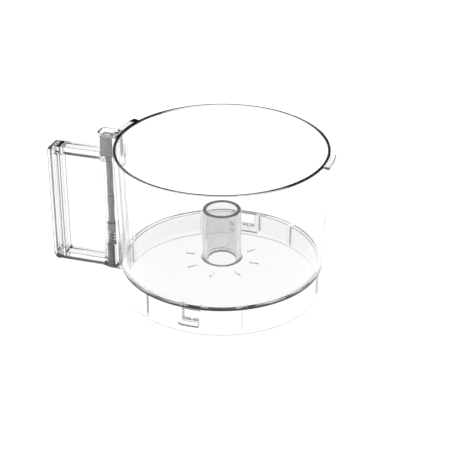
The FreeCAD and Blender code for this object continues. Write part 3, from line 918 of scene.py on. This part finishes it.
def make_openings(sizes):
    """What is cut out of the column: the web's core, the rod's pocket and bore, the plug's seat.
    The bore's flats aren't in the solids: they let the rod show at its full width through the
    column's flat flank."""
    far = ROD_REACH - PLUG_BORE_RADIUS - COLUMN_WALL

    def slot_plan(level, half_width):
        near = outer_radius_at(sizes, level) + HEAD_CLEARANCE
        return [in_plan(*point, level) for point in rectangle(near, far, -half_width, half_width)]

    core = skin("web_core", [
        slot_plan(FOOT_LEVEL - OVERCUT, COLUMN_FOOT_RADIUS - COLUMN_WALL),
        slot_plan(HEAD_FLOOR - CORE_CEILING, COLUMN_TOP_RADIUS - COLUMN_WALL),
    ])
    back = ROD_REACH - POCKET_HALF_LENGTH
    front = ROD_REACH + POCKET_HALF_LENGTH
    pocket = extruded(
        "rod_pocket", rectangle(back, front, -POCKET_HALF_WIDTH, POCKET_HALF_WIDTH, ROD_HEAD_ROUND),
        in_plan, POCKET_FLOOR, RIM_LEVEL + OVERCUT)
    start = sizes.rim_diameter / 2 + SLOT_WALL
    rib = start + SLOT_RIB_LENGTH
    half_rib = SLOT_RIB_WIDTH / 2
    slot = extruded("finger_slot", [
        (start, -SLOT_HALF_WIDTH), (front, -SLOT_HALF_WIDTH), (front, SLOT_HALF_WIDTH),
        (start, SLOT_HALF_WIDTH), (start, half_rib), (rib, half_rib),
        (rib, -half_rib), (start, -half_rib),
    ], in_plan, ROD_TOP, RIM_LEVEL + OVERCUT)
    bore_start = PLUG_TOP + PLUG_BORE_END
    bore_end = POCKET_FLOOR + OVERCUT / 2
    bore = round_body("rod_bore", [
        (PLUG_BORE_RADIUS, FOOT_LEVEL - OVERCUT), (PLUG_BORE_RADIUS, bore_start),
        (ROD_BORE_RADIUS, bore_start), (ROD_BORE_RADIUS, bore_end),
    ], BORE_FACETS, ROD_AXIS)
    seat = extruded(
        "plug_seat", flange_plan(PLUG_CLEARANCE), in_plan,
        FOOT_LEVEL - OVERCUT, FOOT_BAR_BOTTOM + PLUG_FLANGE_THICKNESS)
    half_window = BARB_WIDTH / 2 + PLUG_CLEARANCE
    flats = rectangle(
        ROD_REACH - ROD_BORE_RADIUS - BORE_FLAT_DEPTH, ROD_REACH,
        -ROD_BORE_RADIUS, ROD_BORE_RADIUS, BORE_FLAT_CORNER, 0)
    flats = extruded("bore_flats", flats, in_plan, bore_start, bore_end)
    top = PLUG_TOP - BARB_DROP
    window = rectangle(
        ROD_REACH, ROD_REACH + 2 * COLUMN_FOOT_RADIUS,
        top - BARB_HEIGHT - PLUG_CLEARANCE, top + PLUG_CLEARANCE)
    window = extruded("barb_window", window, on_side, -half_window, half_window)
    return [core, pocket, slot, bore, flats, seat, window]


def flange_plan(extra):
    """Plan of the plug's flange, or of its seat when it is made larger by extra."""
    near = ROD_REACH - PLUG_FLANGE_INNER - extra
    far = ROD_REACH + PLUG_FLANGE_REACH + extra
    side = PLUG_FLANGE_HALF_WIDTH + extra
    return rectangle(near, far, -side, side, PLUG_FLANGE_ROUND + extra)


class WORKBOWL_OT_moulding(bpy.types.Operator):
    """Make the clear bowl, its column and handle in one moulding"""
    bl_idname = "work_bowl.moulding"
    bl_label = "Bowl"

    def execute(self, context):
        sizes = context.scene.work_bowl
        outside, *others = make_column(sizes)
        combine(outside, others + [make_handle(sizes)] + make_lugs(sizes), "UNION")
        combine(outside, [make_wall_core(sizes)], "DIFFERENCE")
        bowl = make_shell(sizes)
        bowl.name = "clear_bowl"
        combine(bowl, [outside, make_hooks(sizes)] + make_ribs(sizes), "UNION")
        combine(bowl, [make_windows(sizes)] + make_openings(sizes), "DIFFERENCE")
        finishes = context.scene.work_bowl_finishes
        finish_surface(bowl, clear_polycarbonate(finishes.polycarbonate, finishes.edges, sizes))
        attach(bowl, "work_bowl")
        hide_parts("bowl")
        return {"FINISHED"}


class WORKBOWL_OT_push_rod(bpy.types.Operator):
    """Make the grey push rod: square head, round stem, spring collar and split tail"""
    bl_idname = "work_bowl.push_rod"
    bl_label = "Push rod"

    def execute(self, context):
        half_length = POCKET_HALF_LENGTH - HEAD_CLEARANCE
        half_width = POCKET_HALF_WIDTH - HEAD_CLEARANCE
        head = rectangle(
            ROD_REACH - half_length, ROD_REACH + half_length, -half_width, half_width,
            ROD_HEAD_ROUND)
        rod = extruded("grey_push_rod", head, in_plan, ROD_HEAD_BOTTOM, ROD_TOP)
        soften(rod, MOULDED_EDGE)
        land_bottom = ROD_LAND_TOP - ROD_LAND_LENGTH
        collar_bottom = COLLAR_TOP - COLLAR_HEIGHT
        tip_bottom = ROD_LOW[2]
        bead_bottom = tip_bottom + ROD_TIP_LENGTH
        bead_top = bead_bottom + ROD_BEAD_LENGTH
        stem = round_body("stem", [
            (ROD_TIP_RADIUS, tip_bottom),
            (ROD_BEAD_RADIUS, bead_bottom), (ROD_BEAD_RADIUS, bead_top),
            (ROD_TAIL_RADIUS, bead_top), (ROD_TAIL_RADIUS, collar_bottom),
            (COLLAR_RADIUS, collar_bottom), (COLLAR_RADIUS, COLLAR_TOP),
            (ROD_STEM_RADIUS, COLLAR_TOP), (ROD_STEM_RADIUS, land_bottom),
            (ROD_LAND_RADIUS, land_bottom), (ROD_LAND_RADIUS, ROD_LAND_TOP),
            (ROD_STEM_RADIUS, ROD_LAND_TOP),
            (ROD_STEM_RADIUS, ROD_HEAD_BOTTOM + ROD_HEAD_HEIGHT / 2),
        ], ROUND_FACETS, ROD_AXIS)
        soften(stem, STEM_EDGE, segments=2)
        combine(rod, [stem], "UNION")
        half_split = ROD_SPLIT_WIDTH / 2
        split = rectangle(
            -half_split, half_split, tip_bottom - OVERCUT, tip_bottom + ROD_SPLIT_LENGTH)
        split = extruded(
            "split", split, from_the_handle,
            ROD_REACH - 2 * ROD_BEAD_RADIUS, ROD_REACH + 2 * ROD_BEAD_RADIUS)
        combine(rod, [split], "DIFFERENCE")
        colour = context.scene.work_bowl_finishes.acetal
        # Levels of the painted shade lines on the rod: the head's bottom, the land's top, the
        # collar's top.
        steps = (ROD_HEAD_BOTTOM, ROD_LAND_TOP, COLLAR_TOP)
        finish_surface(
            rod, moulded_plastic("grey moulded acetal", colour, 0.42, mm(0.5), mm(0.02), steps))
        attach(rod, "rod")
        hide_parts("push_rod")
        return {"FINISHED"}


class WORKBOWL_OT_return_spring(bpy.types.Operator):
    """Wind the return spring between the plug and the push rod's collar"""
    bl_idname = "work_bowl.return_spring"
    bl_label = "Return spring"

    def execute(self, context):
        sizes = context.scene.work_bowl_spring
        tree = bpy.data.node_groups.new("wound wire", "GeometryNodeTree")
        named = {}
        for name in ("Wire", "Turns", "Radius", "Length"):
            named[name] = tree.interface.new_socket(
                name, in_out="INPUT", socket_type="NodeSocketFloat").identifier
        tree.interface.new_socket("Geometry", in_out="OUTPUT", socket_type="NodeSocketGeometry")
        given = add_node(tree, "NodeGroupInput")
        middle = add_node(tree, "GeometryNodeCurveSpiral", {
            "Resolution": 48,
            "Rotations": given.outputs["Turns"],
            "Start Radius": given.outputs["Radius"],
            "End Radius": given.outputs["Radius"],
            "Height": given.outputs["Length"],
        })
        half_wire = calculated(tree, "MULTIPLY", given.outputs["Wire"], 0.5)
        section = add_node(tree, "GeometryNodeCurvePrimitiveCircle", {
            "Resolution": 14, "Radius": half_wire})
        wire = add_node(tree, "GeometryNodeCurveToMesh", {
            "Curve": middle.outputs[0], "Profile Curve": section.outputs[0], "Fill Caps": True})
        give_out(tree, wire.outputs[0])
        spring = bpy.data.objects.new("steel_return_spring", bpy.data.meshes.new("wire"))
        context.scene.collection.objects.link(spring)
        modifier = spring.modifiers.new("winding", "NODES")
        modifier.node_group = tree
        outside = (SPRING_HIGH[1] - SPRING_LOW[1]) / 2
        modifier[named["Wire"]] = sizes.wire
        modifier[named["Turns"]] = sizes.turns
        modifier[named["Radius"]] = outside - sizes.wire / 2
        modifier[named["Length"]] = SPRING_HIGH[2] - SPRING_LOW[2] - sizes.wire
        settle(spring)
        spring.data.transform(Matrix.Translation((-ROD_REACH, 0, SPRING_LOW[2] + sizes.wire / 2)))
        finish_surface(spring, drawn_spring_steel(context.scene.work_bowl_finishes.steel))
        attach(spring, "work_bowl")
        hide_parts("return_spring")
        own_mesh(spring)
        return {"FINISHED"}


class WORKBOWL_OT_spring_plug(bpy.types.Operator):
    """Make the dark plug that closes the column and carries the spring"""
    bl_idname = "work_bowl.spring_plug"
    bl_label = "Spring plug"

    def execute(self, context):
        outside = PLUG_BORE_RADIUS - PLUG_CLEARANCE
        plug = round_body(
            "dark_spring_plug", [(outside, PLUG_BOTTOM), (outside, PLUG_TOP)],
            ROUND_FACETS, ROD_AXIS)
        soften(plug, PLUG_EDGE, segments=2)
        flange = extruded(
            "flange", flange_plan(0), in_plan, PLUG_BOTTOM, PLUG_BOTTOM + PLUG_FLANGE_THICKNESS)
        soften(flange, PLUG_EDGE, segments=2)
        top = PLUG_TOP - BARB_DROP
        barb = extruded("barb", [
            (ROD_REACH + BARB_ROOT, top - BARB_HEIGHT), (ROD_REACH + BARB_REACH, top - BARB_HEIGHT),
            (ROD_REACH + outside, top), (ROD_REACH + BARB_ROOT, top),
        ], on_side, -BARB_WIDTH / 2, BARB_WIDTH / 2)
        combine(plug, [flange, barb], "UNION")
        guide = ROD_TAIL_RADIUS + GUIDE_CLEARANCE
        holes = round_body("holes", [
            (PLUG_SOCKET_RADIUS, PLUG_BOTTOM - OVERCUT), (PLUG_SOCKET_RADIUS, PLUG_SHOULDER),
            (guide, PLUG_SHOULDER), (guide, PLUG_TOP + OVERCUT),
        ], ROUND_FACETS, ROD_AXIS)
        combine(plug, [holes], "DIFFERENCE")
        colour = context.scene.work_bowl_finishes.nylon
        finish_surface(plug, moulded_plastic("dark moulded nylon", colour, 0.5, mm(0.6), mm(0.03)))
        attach(plug, "work_bowl")
        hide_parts("spring_plug")
        return {"FINISHED"}


def studio_floor(colour):
    """Matt white paint that the camera, and what is seen in or through the plastic, finds
    nearly white, while it still takes the object's shadow."""
    material, tree, place = new_material("white studio paint")
    mottle = noise(tree, place, 1 / mm(60), 3.0)
    paint = add_node(tree, "ShaderNodeBsdfPrincipled", {
        "Base Color": mixed_colour(tree, mottle, srgb(colour), srgb("FAFAFA")), "Roughness": 0.8})
    glow = add_node(tree, "ShaderNodeEmission", {"Color": WHITE, "Strength": ROOM_GLOW})
    path = add_node(tree, "ShaderNodeLightPath")
    seen = path.outputs["Is Camera Ray"]
    for kind in ("Is Transmission Ray", "Is Glossy Ray"):
        seen = calculated(tree, "MAXIMUM", seen, path.outputs[kind])
    share = calculated(tree, "MULTIPLY", seen, FLOOR_GLOW_SHARE)
    add_node(tree, "ShaderNodeOutputMaterial", {
        "Surface": mixed_shader(tree, share, paint.outputs[0], glow.outputs[0])})
    return material


def light_the_room(scene):
    """A white sweep up to a little over the horizon, and a darker ceiling for clear edges."""
    world = bpy.data.worlds.new("studio room")
    scene.world = world
    world.use_nodes = True
    tree = world.node_tree
    tree.nodes.clear()
    place = add_node(tree, "ShaderNodeTexCoord")
    direction = add_node(tree, "ShaderNodeSeparateXYZ", {"Vector": place.outputs["Generated"]})
    height = ranged(tree, direction.outputs["Z"], (0.0, 0.35), (ROOM_GLOW, CEILING_GLOW))
    seen, fill, white = [
        add_node(tree, "ShaderNodeBackground", {"Color": WHITE, "Strength": strength}).outputs[0]
        for strength in (height, ROOM_FILL, 1.0)]
    path = add_node(tree, "ShaderNodeLightPath")
    soft = mixed_shader(tree, path.outputs["Is Diffuse Ray"], seen, fill)
    room = mixed_shader(tree, path.outputs["Is Camera Ray"], soft, white)
    add_node(tree, "ShaderNodeOutputWorld", {"Surface": room})


def look(holder, line):
    """Turns a lamp or a camera to look along a line."""
    holder.rotation_euler = line.to_track_quat("-Z", "Y").to_euler()


def hang_lamp(scene, name, place, size, power):
    """A soft box that looks at the bowl, out of sight of the clear plastic."""
    lamp = bpy.data.lights.new(name, "AREA")
    lamp.shape = "RECTANGLE"
    lamp.size, lamp.size_y = size
    lamp.energy = power
    holder = bpy.data.objects.new(name, lamp)
    scene.collection.objects.link(holder)
    holder.location = place
    holder.visible_glossy = False
    holder.visible_transmission = False
    look(holder, LAMP_AIM - Vector(place))


class WORKBOWL_OT_studio(bpy.types.Operator):
    """Set up the pale floor, the soft light and the camera"""
    bl_idname = "work_bowl.studio"
    bl_label = "Studio"

    def execute(self, context):
        scene = context.scene
        settings = scene.work_bowl_studio
        half = settings.floor_size / 2
        floor = extruded(
            "studio_floor", rectangle(-half, half, -half, half), in_space,
            FOOT_LEVEL - mm(20), FOOT_LEVEL)
        floor.data.materials.append(studio_floor(scene.work_bowl_finishes.floor))
        light_the_room(scene)
        hang_lamp(scene, "key", (-1.1, -0.7, 1.5), (0.9, 0.9), 22)
        hang_lamp(scene, "fill", (1.3, -0.4, 1.1), (0.7, 1.1), 10)
        hang_lamp(scene, "rim", (0.2, 1.4, 1.2), (1.2, 0.6), 10)
        camera = bpy.data.cameras.new("camera")
        camera.lens = settings.lens
        camera.sensor_width = 36.0
        holder = bpy.data.objects.new("camera", camera)
        scene.collection.objects.link(holder)
        holder.location = settings.camera_place
        look(holder, Vector(settings.camera_aim) - Vector(settings.camera_place))
        scene.camera = holder
        scene.cycles.max_bounces = 32
        scene.cycles.transmission_bounces = 32
        scene.cycles.glossy_bounces = 24
        scene.view_settings.view_transform = "Standard"
        return {"FINISHED"}


class WORKBOWL_PT_panel(bpy.types.Panel):
    """Sizes, finishes and steps of the work bowl"""
    bl_idname = "WORKBOWL_PT_panel"
    bl_label = "Work Bowl"
    bl_space_type = "VIEW_3D"
    bl_region_type = "UI"
    bl_category = "Work Bowl"

    def draw(self, context):
        layout = self.layout
        scene = context.scene
        groups = {
            "Bowl": scene.work_bowl,
            "Spring": scene.work_bowl_spring,
            "Finishes": scene.work_bowl_finishes,
            "Studio": scene.work_bowl_studio,
        }
        for title, group in groups.items():
            box = layout.box()
            box.label(text=title)
            for name in group.bl_rna.properties.keys():
                if name not in {"rna_type", "name"}:
                    box.prop(group, name)
        for step in STEPS:
            layout.operator(step.bl_idname)


GROUPS = {
    "work_bowl": BowlSizes,
    "work_bowl_spring": SpringSizes,
    "work_bowl_finishes": Finishes,
    "work_bowl_studio": StudioSettings,
}
STEPS = (
    WORKBOWL_OT_moulding,
    WORKBOWL_OT_push_rod,
    WORKBOWL_OT_return_spring,
    WORKBOWL_OT_spring_plug,
    WORKBOWL_OT_studio,
)


def register():
    for kind in (*GROUPS.values(), *STEPS, WORKBOWL_PT_panel):
        bpy.utils.register_class(kind)
    for name, group in GROUPS.items():
        setattr(bpy.types.Scene, name, bpy.props.PointerProperty(type=group))


def unregister():
    for name in GROUPS:
        delattr(bpy.types.Scene, name)
    for kind in (WORKBOWL_PT_panel, *STEPS, *GROUPS.values()):
        bpy.utils.unregister_class(kind)


def main():
    register()
    bpy.ops.work_bowl.moulding()
    bpy.ops.work_bowl.push_rod()
    bpy.ops.work_bowl.return_spring()
    bpy.ops.work_bowl.spring_plug()
    bpy.ops.work_bowl.studio()


if __name__ == "__main__":
    main()
